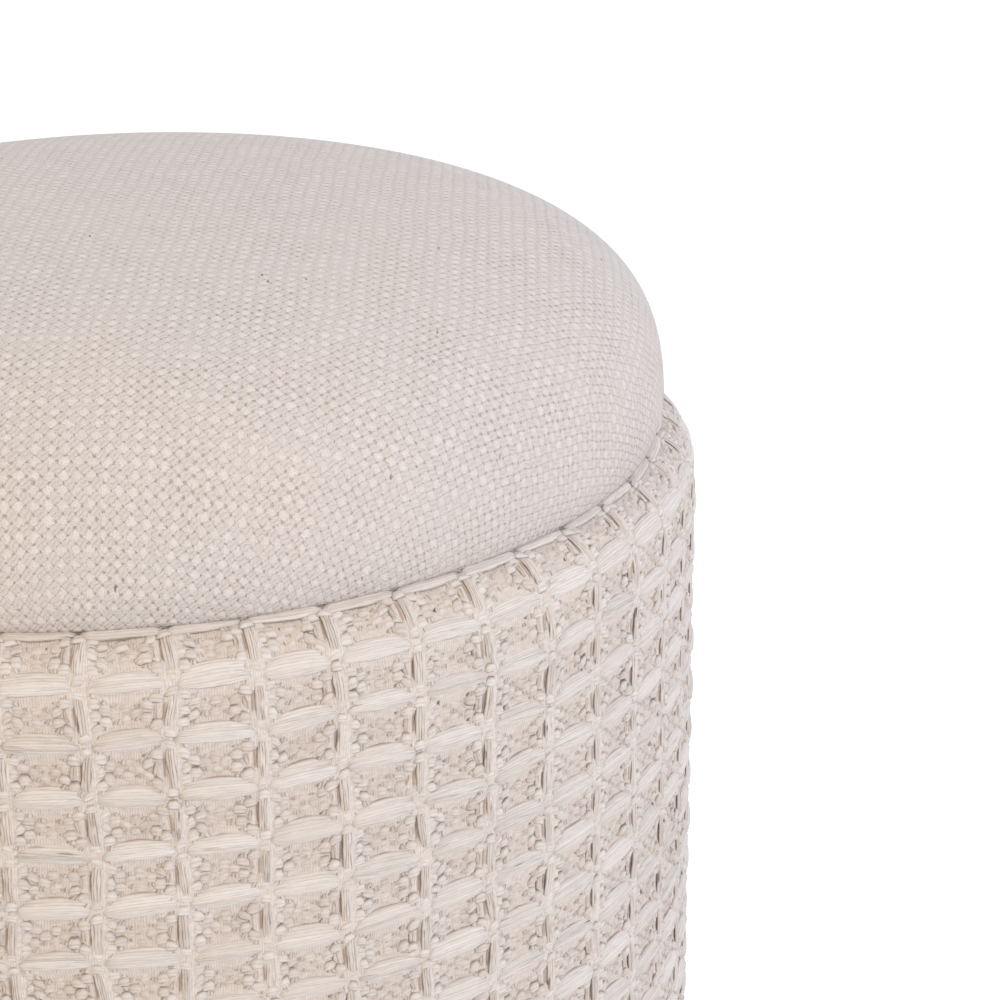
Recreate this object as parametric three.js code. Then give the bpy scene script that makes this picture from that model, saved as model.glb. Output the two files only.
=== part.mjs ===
// Round woven storage ottoman, in millimetres, +Z up.
// A board drum is dressed in one tube of deep waffle cloth, which rolls over the rim and turns
// down inside the mouth. A lift-off lid rests on the rim: a crowned pad on a round board whose
// plug drops into the mouth. The origin is the middle of the base, on the floor.

import * as THREE from "three";

// Driving sizes
const CREST_RADIUS = 205; // outside of the waffle's crossings
const SEAM_RADIUS = 187.5; // where the lid's edge meets the waffle
const SEAM_HEIGHT = 350;
const LID_RADIUS = 193; // the pad's fullest width, just above the seam
const CROWN_HEIGHT = 82.6; // top of the pad above the seam
const WALL_THICKNESS = 12;
const BASE_THICKNESS = 15;
const FIT = 0.3; // gap kept between pieces that touch

// Waffle cloth: a cell is one column wide and one row high
const COLUMNS = 50;
const ROWS = 18; // whole cells from the hem up to the first crossings under the rim
const ROW_PITCH = 18.28;
const FIRST_CROSSINGS = 12; // below the seam
const RIDGE_AZIMUTH = THREE.MathUtils.degToRad(10.67); // one upright ridge, from -Y towards +X
const PIT_DEPTH = 5.5; // from the crossings in to a cell's middle
const SHOULDER_PIT_DEPTH = 4.4; // the same on the shoulder, where the cloth is stretched
const CLOTH_BACK = 3.5; // cloth left behind a cell's middle
const HEM_LIFT = 3; // the hem clears the floor
const HEM_ROUND = 3;
const SHOULDER_DROP = 20; // height of the rounded shoulder under the seam
const SHOULDER_STEP = THREE.MathUtils.degToRad(50); // the ridges bend once on the shoulder

// Cover inside the mouth, and the lid's board
const TURN_THICKNESS = 3;
const TURN_LENGTH = 25;
const MOUTH_BEVEL = 1;
const RIM_BEVEL = 7;
const PLUG_CLEARANCE = 1.4;
const PLUG_DEPTH = 12;
const LID_BOARD_THICKNESS = 11.4;
const PAD_EDGE = 4.5; // cloth and wadding that wrap the board's edge

// Pad profile: (r / LID_RADIUS)^CROWN_ROUND + (z / rise)^EDGE_ROUND = 1
const CROWN_ROUND = 2.77;
const EDGE_ROUND = 3.61;
const FULLEST_BELOW_SEAM = 4;
const PAD_STEPS = 15;
const PAD_SEGMENTS = 80;
const ROLL_HEIGHT = 12; // the pad draws in below this, down to the seam
const ROLL_STEPS = 4;

// Derived sizes
const BACK_RADIUS = CREST_RADIUS - PIT_DEPTH - CLOTH_BACK;
const WALL_OUTER = BACK_RADIUS - FIT;
const WALL_INNER = WALL_OUTER - WALL_THICKNESS;
const MOUTH_RADIUS = WALL_INNER - FIT - TURN_THICKNESS;
const RIM_UNDERSIDE = SEAM_HEIGHT - CLOTH_BACK;
const WALL_TOP = RIM_UNDERSIDE - FIT;
const LID_UNDERSIDE = SEAM_HEIGHT + FIT;
const LID_BOARD_RADIUS = SEAM_RADIUS - PAD_EDGE - FIT;
const LID_BOARD_TOP = LID_UNDERSIDE + LID_BOARD_THICKNESS;

function cloth(color, roughness) {
  return new THREE.MeshStandardMaterial({ color, roughness, metalness: 0 });
}

const waffleCloth = cloth(0xdccfc0, 0.95);
const seatCloth = cloth(0xddd2c6, 0.92);
const board = new THREE.MeshStandardMaterial({ color: 0xb9976b, roughness: 0.7, metalness: 0 });

// A solid of revolution from a profile of [radius, height], outer side upwards.
// It ends on the axis at both ends, or else closes on itself.
function turned(name, profile, segments, material) {
  const points = profile.map(([r, z]) => new THREE.Vector2(r, z));
  if (profile[0][0] > 0) points.push(points[0].clone());
  const geometry = new THREE.LatheGeometry(points, segments, RIDGE_AZIMUTH);
  geometry.rotateX(Math.PI / 2);
  const mesh = new THREE.Mesh(geometry, material);
  mesh.name = name;
  return mesh;
}

function around(radius, height, azimuth) {
  return [radius * Math.sin(azimuth), -radius * Math.cos(azimuth), height];
}

// The cover's section from the hem up the outside, over the rim, down inside the mouth and back.
// A row that belongs to a cell carries the number of rings that the cell spans.
function coverSection() {
  const shoulder = (angle) => [
    SEAM_RADIUS + (CREST_RADIUS - SEAM_RADIUS) * Math.cos(angle),
    SEAM_HEIGHT - SHOULDER_DROP + SHOULDER_DROP * Math.sin(angle),
  ];
  const rings = [{ at: [CREST_RADIUS - HEM_ROUND, HEM_LIFT] }];
  for (let row = ROWS; row > 0; row -= 1) {
    const z = SEAM_HEIGHT - FIRST_CROSSINGS - row * ROW_PITCH;
    const middle = [CREST_RADIUS - PIT_DEPTH, z + ROW_PITCH / 2];
    rings.push({ at: [CREST_RADIUS, z], spans: 1, middle });
  }
  const firstAngle = Math.asin(1 - FIRST_CROSSINGS / SHOULDER_DROP);
  const bend = shoulder(SHOULDER_STEP);
  const inset = SHOULDER_PIT_DEPTH * Math.SQRT1_2;
  rings.push({ at: shoulder(firstAngle), spans: 2, middle: [bend[0] - inset, bend[1] - inset] });
  rings.push({ at: bend });
  rings.push({ at: [SEAM_RADIUS, SEAM_HEIGHT] });
  rings.push({ at: [MOUTH_RADIUS + MOUTH_BEVEL, SEAM_HEIGHT] });
  rings.push({ at: [MOUTH_RADIUS, SEAM_HEIGHT - MOUTH_BEVEL] });
  rings.push({ at: [MOUTH_RADIUS, SEAM_HEIGHT - TURN_LENGTH] });
  rings.push({ at: [MOUTH_RADIUS + TURN_THICKNESS, SEAM_HEIGHT - TURN_LENGTH] });
  rings.push({ at: [MOUTH_RADIUS + TURN_THICKNESS, RIM_UNDERSIDE] });
  rings.push({ at: [BACK_RADIUS - RIM_BEVEL, RIM_UNDERSIDE] });
  rings.push({ at: [BACK_RADIUS, RIM_UNDERSIDE - RIM_BEVEL] });
  rings.push({ at: [BACK_RADIUS, HEM_LIFT] });
  return rings;
}

// The cover as one closed tube. Its plain bands are quads between the ridges' azimuths, and
// each waffle cell is a fan of triangles from its sunken middle to the ridges round it.
function sideCover() {
  const rings = coverSection();
  const step = (2 * Math.PI) / COLUMNS;
  const ridge = (ring, column) => around(...rings[ring].at, RIDGE_AZIMUTH + column * step);
  const triangles = [];
  for (let column = 0; column < COLUMNS; column += 1) {
    let ring = 0;
    while (ring < rings.length) {
      const spans = rings[ring].spans ?? 1;
      const end = (ring + spans) % rings.length;
      if (rings[ring].middle) {
        const middle = around(...rings[ring].middle, RIDGE_AZIMUTH + (column + 0.5) * step);
        const border = [];
        for (let k = 0; k <= spans; k += 1) border.push(ridge(ring + k, column + 1));
        for (let k = spans; k >= 0; k -= 1) border.push(ridge(ring + k, column));
        border.forEach((point, k) => {
          triangles.push(point, border[(k + 1) % border.length], middle);
        });
      } else {
        const corners = [
          ridge(ring, column),
          ridge(ring, column + 1),
          ridge(end, column + 1),
          ridge(end, column),
        ];
        triangles.push(corners[0], corners[1], corners[2]);
        triangles.push(corners[0], corners[2], corners[3]);
      }
      ring += spans;
    }
  }
  const geometry = new THREE.BufferGeometry();
  geometry.setAttribute("position", new THREE.Float32BufferAttribute(triangles.flat(), 3));
  geometry.computeVertexNormals();
  const mesh = new THREE.Mesh(geometry, waffleCloth);
  mesh.name = "side_cover";
  return mesh;
}

function drumWall() {
  const profile = [
    [WALL_OUTER, BASE_THICKNESS + FIT],
    [WALL_OUTER, WALL_TOP - RIM_BEVEL],
    [WALL_OUTER - RIM_BEVEL, WALL_TOP],
    [WALL_INNER, WALL_TOP],
    [WALL_INNER, BASE_THICKNESS + FIT],
  ];
  return turned("drum_wall", profile, COLUMNS, board);
}

function baseBoard() {
  const profile = [
    [0, 0],
    [WALL_OUTER, 0],
    [WALL_OUTER, BASE_THICKNESS],
    [0, BASE_THICKNESS],
  ];
  return turned("base_board", profile, COLUMNS, board);
}

// The lid's board, with the plug under it that keeps the lid in the mouth
function lidBoard() {
  const plugRadius = MOUTH_RADIUS - PLUG_CLEARANCE;
  const profile = [
    [0, LID_UNDERSIDE - PLUG_DEPTH],
    [plugRadius, LID_UNDERSIDE - PLUG_DEPTH],
    [plugRadius, LID_UNDERSIDE],
    [LID_BOARD_RADIUS, LID_UNDERSIDE],
    [LID_BOARD_RADIUS, LID_BOARD_TOP],
    [0, LID_BOARD_TOP],
  ];
  return turned("lid_board", profile, PAD_SEGMENTS, board);
}

// The pad: a crowned, filled solid that bulges out above the seam and draws in to it,
// and that wraps the edge of the lid's board
function lidPad() {
  const recessRadius = LID_BOARD_RADIUS + FIT;
  const recessTop = LID_BOARD_TOP + FIT;
  const rise = CROWN_HEIGHT + FULLEST_BELOW_SEAM;
  const crown = (angle) => [
    LID_RADIUS * Math.cos(angle) ** (2 / CROWN_ROUND),
    SEAM_HEIGHT - FULLEST_BELOW_SEAM + rise * Math.sin(angle) ** (2 / EDGE_ROUND),
  ];
  const profile = [
    [0, recessTop],
    [recessRadius, recessTop],
    [recessRadius, LID_UNDERSIDE],
  ];
  const rollTop = (ROLL_HEIGHT + FULLEST_BELOW_SEAM) / rise;
  const crownStart = Math.asin(rollTop ** (EDGE_ROUND / 2));
  const fullest = crown(crownStart);
  for (let k = 0; k < ROLL_STEPS; k += 1) {
    const angle = ((k / ROLL_STEPS) * Math.PI) / 2;
    profile.push([
      SEAM_RADIUS + (fullest[0] - SEAM_RADIUS) * Math.sin(angle),
      LID_UNDERSIDE + (fullest[1] - LID_UNDERSIDE) * (1 - Math.cos(angle)),
    ]);
  }
  for (let k = 0; k < PAD_STEPS; k += 1) {
    profile.push(crown(crownStart + ((Math.PI / 2 - crownStart) * k) / PAD_STEPS));
  }
  profile.push([0, SEAM_HEIGHT + CROWN_HEIGHT]);
  return turned("lid_pad", profile, PAD_SEGMENTS, seatCloth);
}

const drum = new THREE.Group();
drum.add(baseBoard(), drumWall(), sideCover());

const lid = new THREE.Group();
lid.add(lidBoard(), lidPad());

const ottoman = new THREE.Group();
ottoman.add(drum, lid);

export default ottoman;
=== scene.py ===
from math import pi, radians

import bpy
import numpy as np
from mathutils import Euler, Matrix, Vector


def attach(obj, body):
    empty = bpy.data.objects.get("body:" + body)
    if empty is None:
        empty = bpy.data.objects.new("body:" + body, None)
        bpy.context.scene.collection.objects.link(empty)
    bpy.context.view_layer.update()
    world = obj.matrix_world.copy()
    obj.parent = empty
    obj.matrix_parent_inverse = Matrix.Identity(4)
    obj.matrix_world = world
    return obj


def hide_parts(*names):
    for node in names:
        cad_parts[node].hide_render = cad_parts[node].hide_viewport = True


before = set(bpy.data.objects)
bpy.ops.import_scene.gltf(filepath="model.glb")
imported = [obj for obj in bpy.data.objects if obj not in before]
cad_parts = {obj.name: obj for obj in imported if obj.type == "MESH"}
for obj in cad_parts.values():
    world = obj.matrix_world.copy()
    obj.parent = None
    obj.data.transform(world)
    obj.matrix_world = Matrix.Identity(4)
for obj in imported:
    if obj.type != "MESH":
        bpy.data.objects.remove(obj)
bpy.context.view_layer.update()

# Sizes of the ottoman, in metres, as in the part's source
SEAM_Z = 0.350
CREST_RADIUS = 0.205
SEAM_RADIUS = 0.1875
LID_RADIUS = 0.193
CROWN_HEIGHT = 0.0826
COLUMNS = 50
ROWS = 18
ROW_PITCH = 0.01828
FIRST_CROSSINGS = 0.012
RIDGE_AZIMUTH = radians(10.67)
SHOULDER_DROP = 0.020
HEM_Z = 0.003
BACK_RADIUS = 0.196
MOUTH_RADIUS = 0.1804
TURN_THICKNESS = 0.003
TURN_LENGTH = 0.025
RIM_UNDERSIDE = 0.3465
RIM_BEVEL = 0.007
FIT = 0.0003
LID_UNDERSIDE = SEAM_Z + FIT
RECESS_RADIUS = 0.183
RECESS_TOP = 0.362

# A cell of the waffle reaches from one ridge to the next. The yarns' places are given in mm.
MM = 0.001
CELL_WIDTH = 2 * pi * CREST_RADIUS / COLUMNS
COLUMN_ANGLE = 2 * pi / COLUMNS
WIDE = CELL_WIDTH * 1000
TALL = ROW_PITCH * 1000
MM_X = 0.001 / CELL_WIDTH
MM_Y = 0.001 / ROW_PITCH

# Rows of cells are counted up from the hem. One more lies on the shoulder, up to the seam.
HALF_ROW = ROWS // 2
TOP_ROW = ROWS + 1

random = np.random.default_rng(1796)


# Camera: the photograph's angle, distance and framing
CAMERA_PLACE = (0.1338, -0.8524, SEAM_Z + 0.3004)
CAMERA_PITCH = radians(-21.46)
CAMERA_ROLL = radians(-0.57)
CAMERA_LENS = 90
SENSOR_WIDTH = 36
CLIP_START = 0.05
CLIP_END = 50


def make_camera():
    data = bpy.data.cameras.new("camera")
    data.lens = CAMERA_LENS
    data.sensor_width = SENSOR_WIDTH
    data.clip_start, data.clip_end = CLIP_START, CLIP_END
    camera = bpy.data.objects.new("camera", data)
    bpy.context.scene.collection.objects.link(camera)
    aim = Euler((pi / 2 + CAMERA_PITCH, 0, 0)).to_matrix() @ Matrix.Rotation(CAMERA_ROLL, 3, "Z")
    camera.matrix_world = Matrix.Translation(CAMERA_PLACE) @ aim.to_4x4()
    bpy.context.scene.camera = camera


make_camera()


# Materials
SPECULAR_LEVEL = 0.25
SHEEN_ROUGHNESS = 0.6


class Nodes:
    """Short calls that add shader nodes and join them."""

    def __init__(self, name):
        self.material = bpy.data.materials.new(name)
        self.material.use_nodes = True
        self.tree = self.material.node_tree
        self.shader = self.tree.nodes["Principled BSDF"]

    def add(self, kind, inputs=None, output=0, **settings):
        node = self.tree.nodes.new(kind)
        for key, value in settings.items():
            setattr(node, key, value)
        for key, value in (inputs or {}).items():
            self.put(value, node.inputs[key])
        return node.outputs[output]

    def put(self, value, socket):
        if isinstance(value, bpy.types.NodeSocket):
            self.tree.links.new(value, socket)
        else:
            socket.default_value = value

    def math(self, operation, *values):
        return self.add("ShaderNodeMath", dict(enumerate(values)), operation=operation)

    def plus(self, first, second):
        return self.math("ADD", first, second)

    def minus(self, first, second):
        return self.math("SUBTRACT", first, second)

    def times(self, first, second):
        return self.math("MULTIPLY", first, second)

    def vector_math(self, operation, first, second):
        inputs = {0: first, ("Scale" if operation == "SCALE" else 1): second}
        return self.add("ShaderNodeVectorMath", inputs, operation=operation)

    def between(self, value, low, high, to_low=0.0, to_high=1.0):
        """Eases from to_low to to_high while the value goes from low to high."""
        inputs = {"Value": value, "From Min": low, "From Max": high}
        inputs |= {"To Min": to_low, "To Max": to_high}
        return self.add("ShaderNodeMapRange", inputs, interpolation_type="SMOOTHSTEP")

    def mix(self, factor, first, second):
        """Mixes two colours, which are a Mix node's inputs 6 and 7 and its output 2."""
        inputs = {"Factor": factor, 6: first, 7: second}
        return self.add("ShaderNodeMix", inputs, output=2, data_type="RGBA")

    def mix_numbers(self, factor, first, second):
        return self.add("ShaderNodeMix", {"Factor": factor, 2: first, 3: second})

    def noise(self, vector, scale, detail=2.0, roughness=0.5, output="Fac"):
        inputs = {"Vector": vector, "Scale": scale, "Detail": detail, "Roughness": roughness}
        return self.add("ShaderNodeTexNoise", inputs, output=output)

    def uv(self, name):
        return self.add("ShaderNodeUVMap", uv_map=name)

    def place(self):
        return self.add("ShaderNodeTexCoord", output="Object")

    def scaled(self, vector, scale):
        return self.add("ShaderNodeMapping", {"Vector": vector, "Scale": scale})

    def turned(self, vector, angle):
        return self.add("ShaderNodeMapping", {"Vector": vector, "Rotation": (0, 0, angle)})

    def split(self, vector):
        """The first two parts of a vector."""
        node = self.add("ShaderNodeSeparateXYZ", {"Vector": vector}).node
        return node.outputs[0], node.outputs[1]

    def attribute(self, name):
        return self.add("ShaderNodeAttribute", output="Fac", attribute_name=name)

    def bump(self, height, distance):
        inputs = {"Height": height, "Distance": distance, "Strength": 1.0}
        return self.add("ShaderNodeBump", inputs)

    def finish(self, colour, roughness, normal, sheen=0.0):
        self.put(colour, self.shader.inputs["Base Color"])
        self.put(roughness, self.shader.inputs["Roughness"])
        self.put(normal, self.shader.inputs["Normal"])
        self.shader.inputs["Specular IOR Level"].default_value = SPECULAR_LEVEL
        self.shader.inputs["Sheen Weight"].default_value = sheen
        self.shader.inputs["Sheen Roughness"].default_value = SHEEN_ROUGHNESS
        return self.material


def shade(red, green, blue):
    """A colour in linear light from its everyday 0 to 255 values."""
    return tuple(((c / 255 + 0.055) / 1.055) ** 2.4 for c in (red, green, blue)) + (1.0,)


def yarn_material(name, light, dark, brown, groove_shade_share):
    """Soft spun yarn: fine fibres along its length, a tone of its own, and painted shade that turns
    it browner in the grooves between yarns and where it lies deep in a cell."""
    n = Nodes(name)
    along = n.uv("yarn")
    deep = n.attribute("deep")
    fibres = n.noise(n.scaled(along, (500.0, 3600.0, 1.0)), 1.0, 3.0, 0.65)
    lumps = n.noise(n.scaled(along, (260.0, 900.0, 1.0)), 1.0)
    worn = n.plus(n.times(fibres, 0.6), n.times(n.attribute("tone"), 0.4))
    colour = n.mix(n.between(worn, 0.25, 0.7), dark, light)
    patches = n.noise(n.place(), 9.0, 3.0)
    colour = n.mix(n.between(patches, 0.45, 0.8, 0.0, 0.2), colour, brown)
    # Painted shade deep in a cell: blotchy brown where the yarn lies deep, and browner the deeper it
    # lies
    blotchy_shade = n.between(n.noise(n.place(), 520.0, 3.0, 0.7), 0.5, 0.72)
    colour = n.mix(n.times(n.times(blotchy_shade, deep), 0.65), colour, brown)
    colour = n.mix(n.times(deep, 0.26), colour, brown)
    # Painted shade in the grooves between yarns and at the bundles' ends, uneven with the lumps
    groove_shade = n.plus(n.attribute("groove"), n.times(lumps, 0.7))
    colour = n.mix(n.between(groove_shade, 0.85, 1.4, 0.0, groove_shade_share), colour, brown)
    height = n.plus(fibres, n.times(lumps, 1.6))
    roughness = n.between(fibres, 0.2, 0.8, 0.82, 0.96)
    return n.finish(colour, roughness, n.bump(height, 0.00010), sheen=0.1)


GROUND_YARN = 0.00085


def ground_material():
    """The warp layer between the raised yarns: soft upright yarns, with painted shade that turns
    them browner where they lie deep, along the lines between them and in the hollows of their
    lumps, and a painted shadow in the slits beside the upright ridges."""
    n = Nodes("waffle_ground")
    cloth = n.uv("cloth")
    across, _ = n.split(cloth)
    wander = n.noise(cloth, 160.0)
    ribs = n.math("PINGPONG", n.plus(n.times(across, 1 / GROUND_YARN), n.times(wander, 2.0)), 0.5)
    grain = n.noise(n.scaled(cloth, (2600.0, 700.0, 1.0)), 1.0, 3.0, 0.65)
    lumps = n.noise(n.scaled(cloth, (420.0, 560.0, 1.0)), 1.0)
    # Painted shade: the ground's tone value turns it browner the deeper it lies
    colour = n.mix(n.attribute("tone"), shade(203, 193, 187), shade(189, 171, 157))
    # Painted shade in the hollows of the lumps, where the bump sinks
    colour = n.mix(n.between(lumps, 0.35, 0.65, 0.3, 0.0), colour, shade(172, 151, 134))
    # Painted shade along the lines between the upright yarns
    lines = n.times(n.between(ribs, 0.0, 0.2, 0.35, 0.0), n.between(grain, 0.3, 0.6))
    colour = n.mix(lines, colour, shade(151, 128, 110))
    # Painted shadow in the slits beside the upright ridges
    slit = n.between(n.attribute("slit"), 0.45, 1.0, 0.0, 0.65)
    colour = n.mix(slit, colour, shade(148, 117, 94))
    height = n.plus(n.between(ribs, 0.0, 0.4, 0.0, 0.5), n.times(grain, 0.6))
    height = n.plus(height, n.times(lumps, 1.6))
    roughness = n.between(grain, 0.3, 0.7, 0.85, 0.97)
    return n.finish(colour, roughness, n.bump(height, 0.00024), sheen=0.1)


# The seat's basket weave: a fat yarn one way, a pair of thin yarns the other way
SEAT_PITCH = 0.0031
SEAT_PAIR_PITCH = 0.0030
SEAT_TURN = radians(46)
SEAT_STRAYS = ((30.0, 0.0030), (190.0, 0.0017), (1300.0, 0.0011))


def strayed_cloth(n, flat):
    """The seat's flat cloth with its yarns astray: broad waves, shorter ones, and loose fibres."""
    cloth = flat
    for scale, amount in SEAT_STRAYS:
        wander = n.noise(flat, scale, 1.0, output="Color")
        wander = n.vector_math("SUBTRACT", wander, (0.5, 0.5, 0.5))
        cloth = n.vector_math("ADD", cloth, n.vector_math("SCALE", wander, amount))
    return cloth


def wave(n, value, power):
    """Rises and falls once for each whole number, fuller where the power is below 1."""
    return n.math("POWER", n.math("ABSOLUTE", n.math("SINE", n.times(value, pi))), power)


def stray_fibres(n, colour, cloth, scale, size, rare, tint):
    """Short fibres of another colour, in the few cells whose number is above rare."""
    cells = n.add("ShaderNodeTexVoronoi", {"Vector": n.scaled(cloth, scale), "Scale": 1.0})
    number, _ = n.split(cells.node.outputs["Color"])
    chosen = n.math("GREATER_THAN", number, rare)
    spot = n.between(cells, size, size * 1.6, 0.8, 0.0)
    return n.mix(n.times(chosen, spot), colour, tint)


def basket_weave(n, across, up):
    """Its relief, whether a crossing has the pair on top, and a number for each crossing."""
    column, row = n.math("FLOOR", across), n.math("FLOOR", up)
    odd = n.math("PINGPONG", n.plus(column, row), 1.0)
    number = n.add("ShaderNodeCombineXYZ", {"X": column, "Y": row})
    own = n.add("ShaderNodeTexWhiteNoise", {"Vector": number}, noise_dimensions="2D")
    fat = n.times(wave(n, across, 0.85), wave(n, up, 0.55))
    pair = n.times(n.times(wave(n, across, 0.4), wave(n, n.times(up, 2.0), 0.5)), 0.5)
    return n.mix_numbers(odd, fat, pair), odd, own


def weave_holes(n, flat, across, up):
    """Small holes where the corners of the crossings meet, larger where the weave is loose."""
    corner = n.math("MAXIMUM", wave(n, across, 1.0), wave(n, up, 1.0))
    looseness = n.minus(n.noise(flat, 55.0), 0.5)
    return n.between(n.minus(corner, n.times(looseness, 0.9)), 0.08, 0.5, 1.0, 0.0)


def seat_material():
    """Basket weave with small holes, fibres along its yarns and a few stray tan and dark ones,
    with painted shade in its creases and holes.
    """
    n = Nodes("seat_cloth")
    flat = n.uv("cloth")
    cloth = strayed_cloth(n, flat)
    turned = n.turned(cloth, -SEAT_TURN)
    across, up = n.split(n.scaled(turned, (1 / SEAT_PITCH, 1 / SEAT_PAIR_PITCH, 1.0)))
    relief, odd, own = basket_weave(n, across, up)
    hole = weave_holes(n, flat, across, up)
    fibres = n.noise(n.scaled(turned, (2400.0, 900.0, 1.0)), 1.0, 3.0, 0.6)
    broad = n.noise(flat, 14.0)
    specks = n.noise(flat, 1500.0)
    colour = n.mix(own, shade(197, 189, 185), shade(206, 198, 194))
    colour = n.mix(n.times(odd, 0.7), colour, shade(188, 178, 172))
    # Painted shade in the creases, where the weave's relief is low
    colour = n.mix(n.between(relief, 0.05, 0.5, 0.15, 0.0), colour, shade(179, 166, 158))
    # Painted shade in the holes of the weave
    colour = n.mix(n.times(hole, 0.7), colour, shade(142, 115, 94))
    colour = n.mix(n.between(broad, 0.35, 0.75, 0.0, 0.3), colour, shade(203, 188, 179))
    colour = n.mix(n.between(fibres, 0.35, 0.65, 0.35, 0.0), colour, shade(183, 172, 168))
    colour = n.mix(n.between(specks, 0.3, 0.5, 0.35, 0.0), colour, shade(176, 163, 157))
    colour = stray_fibres(n, colour, cloth, (150.0, 520.0, 1.0), 0.12, 0.955, shade(177, 159, 145))
    colour = stray_fibres(n, colour, cloth, (420.0, 120.0, 1.0), 0.10, 0.985, shade(99, 82, 73))
    height = n.plus(n.plus(relief, n.times(fibres, 0.45)), n.times(specks, 0.6))
    height = n.minus(height, n.times(hole, 0.5))
    roughness = n.between(fibres, 0.3, 0.7, 0.84, 0.96)
    return n.finish(colour, roughness, n.bump(height, 0.0005), sheen=0.03)


def board_material():
    """Plain plywood: long pale grain with fine darker lines."""
    n = Nodes("board")
    place = n.place()
    grain = n.noise(n.scaled(place, (14.0, 160.0, 14.0)), 1.0, 4.0, 0.6)
    lines = n.noise(n.scaled(place, (40.0, 900.0, 40.0)), 1.0)
    colour = n.mix(n.between(grain, 0.3, 0.7), shade(186, 150, 108), shade(214, 183, 142))
    colour = n.mix(n.between(lines, 0.45, 0.75, 0.0, 0.5), colour, shade(150, 112, 74))
    roughness = n.between(grain, 0.3, 0.7, 0.5, 0.68)
    return n.finish(colour, roughness, n.bump(lines, 0.0002))


# Each yarn's last colour is the brown of its painted shade and of its broad patches
weft_yarn = yarn_material(
    "weft_yarn", shade(202, 194, 189), shade(189, 179, 172), shade(166, 146, 131), groove_shade_share=0.5)
warp_yarn = yarn_material(
    "warp_yarn", shade(199, 190, 184), shade(186, 176, 168), shade(148, 125, 107), groove_shade_share=0.95)
waffle_ground = ground_material()
seat_cloth = seat_material()
board = board_material()


# Meshes from arrays
def make_mesh(name, points, triangles, material, uv_maps, values):
    """A smooth piece. The UV maps hold a place for each corner of each triangle, and the values
    are numbers for each point that the material reads."""
    mesh = bpy.data.meshes.new(name)
    mesh.from_pydata(points.tolist(), [], triangles.tolist())
    mesh.polygons.foreach_set("use_smooth", np.ones(len(triangles), bool))
    for map_name, places in uv_maps.items():
        layer = mesh.uv_layers.new(name=map_name, do_init=False)
        layer.uv.foreach_set("vector", places.astype(np.float32).ravel())
    for value_name, value in values.items():
        layer = mesh.attributes.new(value_name, "FLOAT", "POINT")
        layer.data.foreach_set("value", value.astype(np.float32).ravel())
    mesh.materials.append(material)
    mesh.update()
    piece = bpy.data.objects.new(name, mesh)
    bpy.context.scene.collection.objects.link(piece)
    return piece


def ring_triangles(number):
    """The triangles between each ring of point numbers and the next, all the way round."""
    right = np.roll(number, -1, axis=1)
    return np.concatenate([
        np.stack([number[:-1], right[:-1], right[1:]], -1).reshape(-1, 3),
        np.stack([number[:-1], right[1:], number[1:]], -1).reshape(-1, 3),
    ])


def level_direction(azimuth):
    """The x and y of a level direction, from its azimuth from -Y towards +X."""
    return np.sin(azimuth), -np.cos(azimuth)


# The cover's crest line: up the drum and over the shoulder, by its length from the floor
SHOULDER_STEPS = 60


def crest_table():
    angle = np.linspace(0, pi / 2, SHOULDER_STEPS)
    reach = CREST_RADIUS - SEAM_RADIUS
    radius = np.append(CREST_RADIUS, SEAM_RADIUS + reach * np.cos(angle))
    height = np.append(0.0, SEAM_Z - SHOULDER_DROP + SHOULDER_DROP * np.sin(angle))
    length = np.append(0.0, np.cumsum(np.hypot(np.diff(radius), np.diff(height))))
    slope = np.append(0.0, np.arctan2(np.sin(angle) / SHOULDER_DROP, np.cos(angle) / reach))
    return length, radius, height, slope


CREST_LENGTH, CREST_R, CREST_Z, CREST_SLOPE = crest_table()
row_heights = SEAM_Z - FIRST_CROSSINGS - ROW_PITCH * np.arange(ROWS, -1, -1)
ROW_LENGTHS = np.append(np.interp(row_heights, CREST_Z, CREST_LENGTH), CREST_LENGTH[-1])

# How much of the relief is left at the seam, and of the straying there
SEAM_RELIEF = 0.55
SEAM_CALM = 0.3

# How far each crossing of the ridges has strayed, across and up, in parts of a cell
CROSSING_STRAY = 0.028
STRAY = random.normal(0, CROSSING_STRAY, (2, COLUMNS, ROWS + 3))
STRAY[:, :, TOP_ROW:] *= SEAM_CALM


def strayed(column, row):
    """The column and row of a point once the crossings round it have strayed."""
    left, low = np.floor(column).astype(int), np.clip(np.floor(row).astype(int), 0, TOP_ROW)
    x, y = column - left, np.clip(row - low, 0, 1)
    left, right = left % COLUMNS, (left + 1) % COLUMNS
    shift = (
        STRAY[:, left, low] * (1 - x) * (1 - y) + STRAY[:, right, low] * x * (1 - y)
        + STRAY[:, left, low + 1] * (1 - x) * y + STRAY[:, right, low + 1] * x * y
    )
    return column + shift[0], row + shift[1]


def lay(column, row, out):
    """Where points of the cloth lie, from their columns and rows, and how far they stand out of
    the crest line, as arrays."""
    column, row = strayed(column, row)
    out = out * np.interp(row, (ROWS - 1, ROWS + 1), (1.0, SEAM_RELIEF))
    below = np.minimum(row, 0) * ROW_PITCH
    above = np.maximum(row - ROWS - 1, 0) * ROW_PITCH
    length = np.interp(row, np.arange(ROWS + 2), ROW_LENGTHS) + below
    slope = np.interp(length, CREST_LENGTH, CREST_SLOPE)
    radius = np.interp(length, CREST_LENGTH, CREST_R) + out * np.cos(slope) - above
    height = np.interp(length, CREST_LENGTH, CREST_Z) + out * np.sin(slope) + np.minimum(length, 0)
    east, north = level_direction(RIDGE_AZIMUTH + column * COLUMN_ANGLE)
    return np.stack([radius * east, radius * north, height], -1)


# The waffle is an eight by eight honeycomb weave. Each of its eight warp ends a cell is a flat
# bundle of fine yarns, and so is each of its eight weft picks. These are their places from a
# ridge to the middle of a cell, in mm.
END_1, END_2, END_3 = 3.65, 6.75, 9.80
PICK_1, PICK_2, PICK_3 = 2.35, 4.60, 6.85
MID_X, MID_Y = WIDE / 2, TALL / 2

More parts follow.
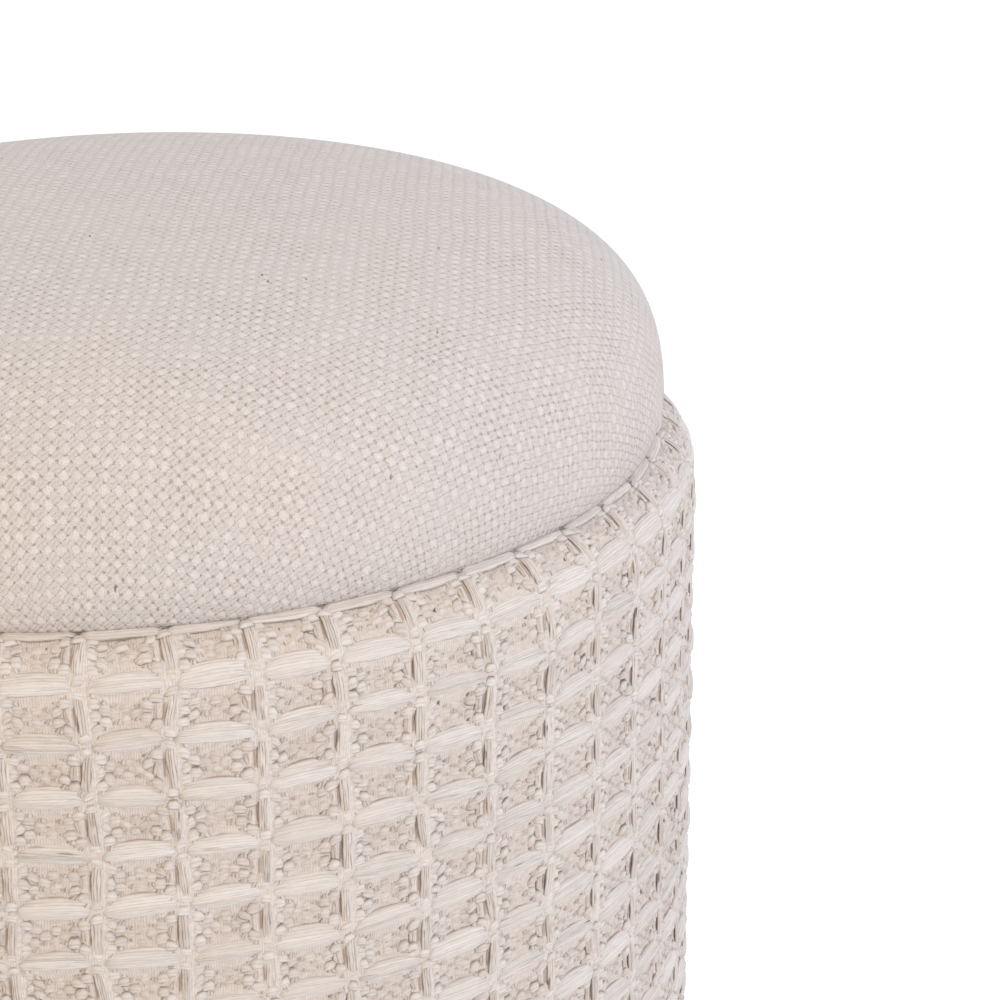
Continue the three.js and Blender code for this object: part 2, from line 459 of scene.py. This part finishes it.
# Waffle cloth: its ground sheet, closed over the rim and back inside the mouth. The table says how
# deep its warp layer lies under the crest line, in mm: across a cell from one upright ridge to the
# next, and up from a level ridge to the middle. A slit runs down the left of each upright ridge.
GROUND_X = (0.0, 2.2, END_1, 5.2, END_2, END_3, 12.88, 15.96, 19.01, 20.8, 22.8, 23.7)
GROUND_Y = (0.0, PICK_1, PICK_2, PICK_3, 9.14)
GROUND_DEPTHS = (
    (1.3, 1.3, 1.3, 1.3, 1.3, 1.3, 1.3, 1.3, 1.3, 1.3, 1.3, 1.3),
    (1.0, 1.1, 1.2, 1.5, 1.7, 1.8, 1.8, 1.8, 1.7, 1.5, 1.2, 1.1),
    (1.0, 1.2, 1.8, 2.0, 2.0, 2.4, 2.5, 2.4, 2.0, 2.1, 1.7, 1.7),
    (1.0, 1.2, 1.9, 2.2, 2.5, 2.5, 2.7, 2.5, 2.5, 2.3, 1.7, 2.2),
    (1.0, 1.2, 1.9, 2.3, 2.5, 2.8, 2.7, 2.8, 2.5, 2.4, 1.8, 2.3),
)
SLIT_EDGE = GROUND_X[-3]
SLIT = GROUND_X[-1]
SEAM_DEPTH = 0.0002

# Painted shade: the cloth turns browner from this depth on, in metres. The painted shadow in a slit
# starts where that has begun.
DEPTH_SHADE_FROM = 0.0020
DEPTH_SHADE_SPAN = 0.0018
SLIT_SHADE_START = 0.1

# The hem's rounded edge, by how far it lies in from the crests and above the hem
HEM_EDGE = ((0.0045, 0.0), (0.0028, 0.0022))
MOUTH_BEVEL = 0.0010

# What a whole baked map covers: a little more than the ottoman's height, or than the girth
BAKE_HEIGHT = 0.45
BAKE_MARGIN = 1.05


def mirrored(half):
    """A cell's lines from a level ridge to its middle, and on to just before the next ridge."""
    return np.concatenate([half, half[1:-1][::-1]])


def ground_grid():
    """The columns and rows of the ground's points, and how deep each lies."""
    columns = np.concatenate([column + np.array(GROUND_X) / WIDE for column in range(COLUMNS)])
    y = np.array(GROUND_Y) / TALL
    y = np.append(y, 1 - y[1:-1][::-1])
    rows = np.concatenate([row + y for row in range(TOP_ROW)] + [[TOP_ROW]])
    depth = np.tile(mirrored(np.array(GROUND_DEPTHS)) * MM, (TOP_ROW, COLUMNS))
    return columns, rows, np.concatenate([depth, np.full((1, len(columns)), SEAM_DEPTH)])


def sheet_rings(columns, rows, depth):
    """All the rings of the cover: its hem, its outside, and its inside back down to the hem."""
    column, row = np.meshgrid(columns, rows)
    around = np.stack(level_direction(RIDGE_AZIMUTH + columns * COLUMN_ANGLE), -1)

    def ring(radius, height):
        return np.concatenate([around * radius, np.full((len(columns), 1), height)], 1)[None]

    hem = [ring(CREST_RADIUS - inset, HEM_Z + rise) for inset, rise in HEM_EDGE]
    inside = [
        ring(MOUTH_RADIUS + MOUTH_BEVEL, SEAM_Z),
        ring(MOUTH_RADIUS, SEAM_Z - MOUTH_BEVEL),
        ring(MOUTH_RADIUS, SEAM_Z - TURN_LENGTH),
        ring(MOUTH_RADIUS + TURN_THICKNESS, SEAM_Z - TURN_LENGTH),
        ring(MOUTH_RADIUS + TURN_THICKNESS, RIM_UNDERSIDE),
        ring(BACK_RADIUS - RIM_BEVEL, RIM_UNDERSIDE),
        ring(BACK_RADIUS, RIM_UNDERSIDE - RIM_BEVEL),
        ring(BACK_RADIUS, HEM_Z),
    ]
    return np.concatenate([*hem, lay(column, row, -depth), *inside])


def cloth_places(grid, columns, triangles):
    """The flat cloth's UV places: along its girth, and up along its rings."""
    girth = COLUMNS * CELL_WIDTH
    steps = np.linalg.norm(np.diff(grid[:, 0], axis=0), axis=1)
    run = np.cumsum(np.append(0, steps))
    across, up = np.meshgrid(columns * CELL_WIDTH, run)
    places = np.stack([across.ravel(), up.ravel()], -1)[triangles]
    crosses_join = np.ptp(places[..., 0], 1)[:, None] > girth / 2
    places[..., 0] += girth * (crosses_join & (places[..., 0] < girth / 2))
    return places, places / (girth * BAKE_MARGIN)


def side_cover():
    columns, rows, depth = ground_grid()
    grid = sheet_rings(columns, rows, depth)
    number = np.arange(grid.shape[0] * grid.shape[1]).reshape(grid.shape[:2])
    triangles = ring_triangles(np.concatenate([number, number[:1]]))
    places, bake = cloth_places(grid, columns, triangles)
    # Painted shade: the ground's tone value is browner the deeper its warp layer lies, and its slit
    # value paints the shadow in each slit
    deep = np.zeros(grid.shape[:2])
    first = len(HEM_EDGE)
    deep[first:first + len(rows)] = np.clip((depth - DEPTH_SHADE_FROM) / DEPTH_SHADE_SPAN, 0, 1)
    near_slit = np.interp(GROUND_X, (SLIT_EDGE, SLIT), (0.0, 1.0))
    in_slit = np.tile(near_slit, COLUMNS)[None] * (deep > SLIT_SHADE_START)
    maps = {"cloth": places, "OFBake": bake}
    values = {"tone": deep, "slit": in_slit}
    return make_mesh("waffle_cloth", grid.reshape(-1, 3), triangles, waffle_ground, maps, values)


cover = side_cover()
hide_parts("side_cover")


# Bundles of yarn that lie on the cover, as closed flat ribbons with a ridge for each yarn. Their
# arrays go by bundle, ring along it and point across it. The first and last rings are single points.
def mesh_order(values, tip=None):
    """The values in the order of a bundle's points in its mesh: its inner rings, then the points
    at its two ends, which get the tip's value if there is one."""
    inner = values[:, 1:-1].reshape(len(values), -1, *values.shape[3:])
    tips = np.stack([values[:, 0, 0], values[:, -1, 0]], 1)
    if tip is not None:
        tips = np.full_like(tips, tip)
    return np.concatenate([inner, tips], 1)


def ribbon_triangles(count, rings, width):
    """The triangles of that many ribbons, whose points are in mesh order."""
    corner = np.arange((rings - 2) * width).reshape(rings - 2, width)
    after = np.roll(corner, -1, axis=1)
    lower, upper = corner[:-1].ravel(), corner[1:].ravel()
    lower_after, upper_after = after[:-1].ravel(), after[1:].ravel()
    first, last = corner.size, corner.size + 1
    faces = np.concatenate([
        np.stack([lower, upper, lower_after], -1),
        np.stack([upper, upper_after, lower_after], -1),
        np.stack([np.full(width, first), corner[0], after[0]], -1),
        np.stack([after[-1], corner[-1], np.full(width, last)], -1),
    ])
    return (faces[None] + (corner.size + 2) * np.arange(count)[:, None, None]).reshape(-1, 3)


# A bundle's outer points lie a share of a yarn further out and a share of its crown lower. It keeps
# nearly its full height and width until close to its ends.
EDGE_SPREAD = 0.12
EDGE_DROP = 0.6
RISE_POWER = 0.55

# How bundles stray: their ends, depth, single yarns and surface in mm, their fanning as a share,
# their lean and wander as multiples of their own stray, and their tones
END_STRAY = 0.25
DEPTH_STRAY = 0.16
YARN_STRAY = 0.09
SURFACE_STRAY = 0.05
FAN_STRAY = 0.1
LEAN_STRAYS = 4
WANDER_STRAYS = 0.6
TONES = (0.25, 0.85)
TONE_STRAY = 0.3

# Each bundle shows another stretch of the yarn's pattern, up to this far along, in metres
MOST_SHIFT = 3

# Painted shade: a bundle is browner the deeper it lies, in mm, and on the right of a cell, beside
# the slit
DEEP_SHADE_FROM = 0.4
DEEP_SHADE_SPAN = 2.2
RIGHT_SIDE_SHADE = 0.7


def jitter(size, amount):
    return random.normal(0, amount, size)


def bundle_section(yarns, pitch, plump, groove, tilt):
    """A bundle's points across its width: how far each lies to the side and stands out, in mm,
    and 1 for those in a groove between yarns."""
    place = np.arange(-yarns, yarns + 1)
    is_edge = np.abs(place) == yarns
    is_groove = ((place + yarns) % 2 == 0).astype(float)
    side = place * pitch / 2 + np.where(is_edge, np.sign(place) * pitch * EDGE_SPREAD, 0)
    crown = -plump * (place / yarns) ** 2 - tilt * place / yarns - is_groove * groove
    return side, crown - np.where(is_edge, plump * EDGE_DROP, 0), is_groove


def float_table(rows, table):
    """The column, row, middle, start, finish and depth of each float in those rows of cells."""
    column, row = np.meshgrid(np.arange(COLUMNS), np.arange(*rows), indexing="ij")
    lines = np.tile(table, (column.size, 1)).T
    cells = (np.repeat(number.ravel(), len(table)) for number in (column, row))
    return np.stack([*cells, *lines])[:, :, None, None]


def bundle_shape(middle, start, finish, depth, side, crown, rings, drop, spread, stray, arch):
    """How far each point lies along its float, across it and out of the crest line, in mm."""
    total, width = len(start), len(side)
    one, each_yarn, every = (total, 1, 1), (total, 1, width), (total, rings, width)
    share = np.linspace(0, 1, rings)[None, :, None]
    rise = np.sin(pi * share) ** RISE_POWER
    along = start + (finish - start) * share + np.zeros(every)
    fan = (spread + (1 - spread) * rise) * (1 + jitter(one, FAN_STRAY))
    lean = jitter(one, stray * LEAN_STRAYS) * (share - 0.5)
    wander = jitter(every, stray * WANDER_STRAYS)
    cross = middle + jitter(one, stray) + side * fan + lean + wander - arch * (1 - rise)
    rough = jitter(each_yarn, YARN_STRAY) + jitter(every, SURFACE_STRAY)
    out = -(depth + jitter(one, DEPTH_STRAY)) + crown + rough - drop * (1 - rise)
    return along, cross, out


def bundle_maps(points, triangles, along, side):
    """Two UV maps: along and across each bundle, for its yarn, and round the drum, for baking."""
    shift = random.uniform(0, MOST_SHIFT, (len(along), 1))
    run = mesh_order(along) * MM + shift
    aside = mesh_order(side + np.zeros(along.shape), tip=0.0) * MM + shift
    turn = np.arctan2(points[:, 0], -points[:, 1]) / (2 * pi) + 0.5
    corners = triangles.ravel()
    return {
        "yarn": np.stack([run.ravel(), aside.ravel()], -1)[corners],
        "OFBake": np.stack([turn, points[:, 2] / BAKE_HEIGHT], -1)[corners],
    }


def bundle_values(shape, is_groove, lies_at, depth):
    """What the yarns' materials read: the tone of each yarn, and its grooves and how deep it lies,
    from which they paint shade.
    """
    total, _, width = shape
    own = random.uniform(*TONES, (total, 1, 1)) + jitter((total, 1, width), TONE_STRAY)
    # Painted shade: browner the deeper a bundle lies and the nearer it lies to the slit on the
    # cell's right
    to_right = np.clip(lies_at / WIDE - 0.5, 0, 0.5)
    deep = np.clip((depth - DEEP_SHADE_FROM) / DEEP_SHADE_SPAN + RIGHT_SIDE_SHADE * to_right, 0, 1)
    return {
        "tone": np.clip(mesh_order(own + np.zeros(shape)), 0, 1),
        "groove": mesh_order(is_groove + np.zeros(shape), tip=1.0),
        "deep": mesh_order(deep + np.zeros(shape)),
    }


def lay_bundles(name, rows, table, level, yarns, rings, pitch, plump, drop=0.8, spread=0.8,
                stray=0.25, groove=0.18, tilt=0.0, arch=0.0):
    """The same floats in every cell, each a ribbon of so many yarns. rows is the first row of
    cells and the one after the last. A line of the table says where a float's middle lies across,
    where it starts and finishes, and how deep it lies, in mm. level is True for weft, which runs
    round the drum. rings is the number of places along a ribbon, pitch the width of a yarn, plump
    how far the crown rounds off, drop how far the ends dive, spread the share of the width that
    they keep, stray how far a ribbon lies off its place, groove the depth between yarns, tilt how
    far the far edge lies below the middle, and arch how far the middle bows out."""
    column, row, middle, start, finish, depth = float_table(rows, table)
    start, finish = start + jitter(start.shape, END_STRAY), finish + jitter(start.shape, END_STRAY)
    side, crown, is_groove = bundle_section(yarns, pitch, plump, groove, tilt)
    along, cross, out = bundle_shape(
        middle, start, finish, depth, side, crown, rings, drop, spread, stray, arch)
    if level:
        x, y = along, cross
    else:
        x, y, out = (values[:, :, ::-1] for values in (cross, along, out))
    points = mesh_order(lay(column + x * MM_X, row + y * MM_Y, out * MM)).reshape(-1, 3)
    triangles = ribbon_triangles(*along.shape)
    maps = bundle_maps(points, triangles, along, side)
    lies_at = (start + finish) / 2 if level else middle
    values = bundle_values(along.shape, is_groove, lies_at, depth)
    material = weft_yarn if level else warp_yarn
    return make_mesh(name, points, triangles, material, maps, values)


def two_ways(lines, level):
    """A cell's table of floats, repeated on the far side of its middle."""
    breadth = TALL if level else WIDE
    return lines + [(breadth - m, s, f, d) for m, s, f, d in lines]


def four_ways(lines, level):
    """A cell's table of floats, repeated in its other three quarters."""
    length = WIDE if level else TALL
    return two_ways(lines + [(m, length - f, length - s, d) for m, s, f, d in lines], level)


def weft_puff(x, y, depth, long=6.6):
    """A short weft float with its middle at x, y."""
    return [(y, x - long / 2, x + long / 2, depth)]


def warp_puff(x, y, depth, long=4.8):
    """A short warp float with its middle at x, y."""
    return [(x, y - long / 2, y + long / 2, depth)]


def weft_puffs():
    """The weft floats in a cell, which step down from the level ridges to its middle."""
    beside = weft_puff(END_1 + 0.3, PICK_2, 0.7) + weft_puff(END_2, PICK_3, 1.35)
    puffs = four_ways(beside, True)
    puffs += two_ways(weft_puff(MID_X, PICK_3, 1.95), True)
    puffs += weft_puff(END_3, MID_Y, 2.05) + weft_puff(WIDE - END_3, MID_Y, 2.05)
    return puffs + weft_puff(END_1 + 0.2, MID_Y, 1.0, 5.4)


def weft_bundles():
    """Floats over seven ends on the level ridges, the picks that the seam and the hem cut
    through, knots at the crossings and the puffs in the cells."""
    ridge = [(0.9, -0.9, WIDE + 0.9, 0.0)]
    seam = [(-2.2, -1.8, WIDE + 1.8, -1.0)]
    knot_seam = weft_puff(0.0, -PICK_1 - 1.8, -0.1, 6.4) + weft_puff(0.0, -0.6, -0.4, 5.6)
    hem = [(-PICK_1 - 0.1, 3.9, WIDE - 3.9, 1.0), (-PICK_2, 1.0, WIDE - 1.0, 1.5)]
    knot = weft_puff(0.0, -PICK_1 + 0.1, 0.25, 6.0) + weft_puff(0.0, PICK_1 - 0.1, 0.25, 6.0)
    puffs = weft_puffs()
    puff = dict(yarns=2, rings=4, pitch=1.90, plump=0.65, drop=0.9, spread=0.7, stray=0.3)
    return [
        lay_bundles("weft_ridges", (0, TOP_ROW), ridge, True, yarns=8, rings=7, pitch=0.86,
                    plump=1.2, spread=0.45, stray=0.2, groove=0.2, tilt=0.45, arch=0.9),
        lay_bundles("weft_seam", (TOP_ROW, TOP_ROW + 1), seam, True, yarns=6, rings=7, pitch=0.85,
                    plump=1.0, drop=0.35, spread=0.6, groove=0.2, tilt=-0.8),
        lay_bundles("knots_seam", (TOP_ROW, TOP_ROW + 1), knot_seam, True, yarns=2, rings=4,
                    pitch=1.40, plump=0.4, stray=0.2),
        lay_bundles("weft_hem", (0, 1), hem, True, yarns=2, rings=6, pitch=1.25, plump=0.5,
                    spread=0.7),
        lay_bundles("knots", (0, TOP_ROW), knot, True, yarns=2, rings=4, pitch=1.55, plump=0.6,
                    spread=0.7),
        lay_bundles("weft_puffs_lower", (0, HALF_ROW), puffs, True, **puff),
        lay_bundles("weft_puffs_upper", (HALF_ROW, TOP_ROW), puffs, True, **puff),
    ]


def warp_bundles():
    """Floats over five picks on the upright ridges, over three beside them, and the places in
    the cells where one warp end shows between the picks."""
    ridge = [(0.1, 0.4, TALL - 0.4, 0.5)]
    second = [(WIDE - END_1 - 0.4, 5.4, TALL - 5.4, 1.6)]
    steps = warp_puff(END_1, PICK_1, 0.5) + warp_puff(END_2, PICK_2, 1.0)
    puffs = four_ways(steps + warp_puff(END_3, PICK_3, 1.6), False)
    puffs += warp_puff(MID_X, MID_Y, 2.1, 4.6)
    return [
        lay_bundles("warp_ridges", (0, TOP_ROW), ridge, False, yarns=4, rings=6, pitch=0.78,
                    plump=0.5, drop=0.6, spread=0.9, groove=0.28),
        lay_bundles("warp_second", (0, TOP_ROW), second, False, yarns=2, rings=5, pitch=1.05,
                    plump=0.4, drop=1.0, spread=0.9),
        lay_bundles("warp_puffs", (0, TOP_ROW), puffs, False, yarns=2, rings=3, pitch=1.35,
                    plump=0.7, drop=1.1, stray=0.3),
    ]


yarns = weft_bundles() + warp_bundles()
for yarn in yarns:
    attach(yarn, "drum")
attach(cover, "drum")


# Lid pad: a crowned cushion in basket weave
CROWN_ROUND = 2.77
EDGE_ROUND = 3.61
FULLEST_BELOW_SEAM = 0.004
ROLL_HEIGHT = 0.012
ROLL_START = 0.1905
CROWN_STEPS = 64
CROWN_CROWDING = 1.1
ROLL_STEPS = 9
PAD_SEGMENTS = 240

# The pad's underside, from the middle out, round the recess for the lid's board: radius, height,
# and how far beyond the pad's edge it lies in the flat cloth
UNDERSIDE = (
    (0.0, RECESS_TOP, 0.21),
    (RECESS_RADIUS * 0.5, RECESS_TOP, 0.11),
    (RECESS_RADIUS, RECESS_TOP, 0.022),
    (RECESS_RADIUS, LID_UNDERSIDE, 0.016),
)
PAD_BAKE_WIDTH = 0.9


def pad_profile():
    """The pad's radius and height, from its roll at the seam up to the middle of its crown."""
    rise = CROWN_HEIGHT + FULLEST_BELOW_SEAM
    start = np.arcsin(((ROLL_HEIGHT + FULLEST_BELOW_SEAM) / rise) ** (EDGE_ROUND / 2))
    angle = start + (pi / 2 - start) * np.linspace(0, 1, CROWN_STEPS) ** CROWN_CROWDING
    radius = LID_RADIUS * np.cos(angle) ** (2 / CROWN_ROUND)
    height = SEAM_Z - FULLEST_BELOW_SEAM + rise * np.sin(angle) ** (2 / EDGE_ROUND)
    radius[-1] = 0.0
    roll = np.linspace(0, 1, ROLL_STEPS, endpoint=False)
    roll_radius = ROLL_START + (radius[0] - ROLL_START) * (1 - (1 - roll) ** 2)
    roll_height = LID_UNDERSIDE + (height[0] - LID_UNDERSIDE) * roll
    return np.append(roll_radius, radius), np.append(roll_height, height)


def lid_pad():
    radius, height = pad_profile()
    run = np.append(0, np.cumsum(np.hypot(np.diff(radius), np.diff(height))))
    under_radius, under_height, beyond = np.array(UNDERSIDE).T
    radii = np.append(under_radius, radius)[:, None]
    heights = np.append(under_height, height)[:, None]
    spreads = np.append(run[-1] + beyond, run[-1] - run)[:, None]
    east, north = level_direction(2 * pi * np.arange(PAD_SEGMENTS) / PAD_SEGMENTS)
    points = np.stack([radii * east, radii * north, heights + np.zeros(PAD_SEGMENTS)], -1)
    flat = np.stack([spreads * east, spreads * north], -1)

    number = np.arange(radii.size * PAD_SEGMENTS).reshape(-1, PAD_SEGMENTS)
    number[0], number[-1] = number[0, 0], number[-1, 0]
    triangles = ring_triangles(number)
    before = np.roll(triangles, 1, axis=1)
    triangles = triangles[(triangles != before).all(1)]
    used, triangles = np.unique(triangles, return_inverse=True)
    triangles = triangles.reshape(-1, 3)
    places = flat.reshape(-1, 2)[used][triangles.ravel()]
    maps = {"cloth": places, "OFBake": places / PAD_BAKE_WIDTH + 0.5}
    return make_mesh("seat_pad", points.reshape(-1, 3)[used], triangles, seat_cloth, maps, {})


pad = lid_pad()
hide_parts("lid_pad")
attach(pad, "lid")

for node in ("base_board", "drum_wall", "lid_board"):
    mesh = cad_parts[node].data
    mesh.materials.clear()
    mesh.materials.append(board)


# Floor and light
FLOOR_SIZE = 14
FLOOR_COLOUR = (0.96, 0.96, 0.96, 1)
FLOOR_ROUGHNESS = 0.9

# Each area light's name, place, size, power and colour. All aim at the ottoman's middle.
AREA_LIGHTS = (
    ("key", (0.9, -1.15, 0.75), 1.2, 7.0, (1.0, 0.985, 0.975)),
    ("warm", (-0.45, -0.65, 0.8), 0.4, 1.4, (1.0, 0.72, 0.32)),
    ("sky", (0, 0, 2.5), 3.0, 9, (1.0, 1.0, 1.0)),
)
LIGHT_AIM = (0, 0, 0.25)

# The studio's walls are cooler and slightly stronger on one side
COOL_SIDE = (0.87, 0.49, 0.0)
WARM_WALL = (0.77, 0.71, 0.60, 1)
COOL_WALL = (1.20, 1.32, 1.51, 1)
WALL_STRENGTH = 1.05


def floor_material():
    material = bpy.data.materials.new("floor")
    material.use_nodes = True
    shader = material.node_tree.nodes["Principled BSDF"]
    shader.inputs["Base Color"].default_value = FLOOR_COLOUR
    shader.inputs["Roughness"].default_value = FLOOR_ROUGHNESS
    return material


def make_floor():
    bpy.ops.mesh.primitive_plane_add(size=FLOOR_SIZE, location=(0, 0, 0))
    floor = bpy.context.object
    floor.name = "floor"
    floor.data.materials.append(floor_material())


def area_light(name, place, size, power, colour):
    data = bpy.data.lights.new(name, "AREA")
    data.shape = "DISK"
    data.size = size
    data.energy = power
    data.color = colour
    light = bpy.data.objects.new(name, data)
    bpy.context.scene.collection.objects.link(light)
    aim = Vector(LIGHT_AIM) - Vector(place)
    light.location = place
    light.rotation_mode = "QUATERNION"
    light.rotation_quaternion = aim.to_track_quat("-Z", "Y")
    light.visible_camera = False


def make_walls():
    """The world's light: it turns from the warm to the cool colour with its direction."""
    world = bpy.data.worlds.new("studio")
    world.use_nodes = True
    nodes, links = world.node_tree.nodes, world.node_tree.links
    direction = nodes.new("ShaderNodeTexCoord").outputs["Generated"]
    towards = nodes.new("ShaderNodeVectorMath")
    towards.operation = "DOT_PRODUCT"
    towards.inputs[1].default_value = COOL_SIDE
    share = nodes.new("ShaderNodeMapRange")
    share.inputs["From Min"].default_value = -1.0
    walls = nodes.new("ShaderNodeMix")
    walls.data_type = "RGBA"
    walls.inputs[6].default_value = WARM_WALL
    walls.inputs[7].default_value = COOL_WALL
    background = nodes["Background"]
    background.inputs["Strength"].default_value = WALL_STRENGTH
    links.new(direction, towards.inputs[0])
    links.new(towards.outputs["Value"], share.inputs["Value"])
    links.new(share.outputs["Result"], walls.inputs["Factor"])
    links.new(walls.outputs[2], background.inputs["Color"])
    bpy.context.scene.world = world


make_floor()
make_walls()
for light in AREA_LIGHTS:
    area_light(*light)
bpy.context.scene.view_settings.view_transform = "Standard"
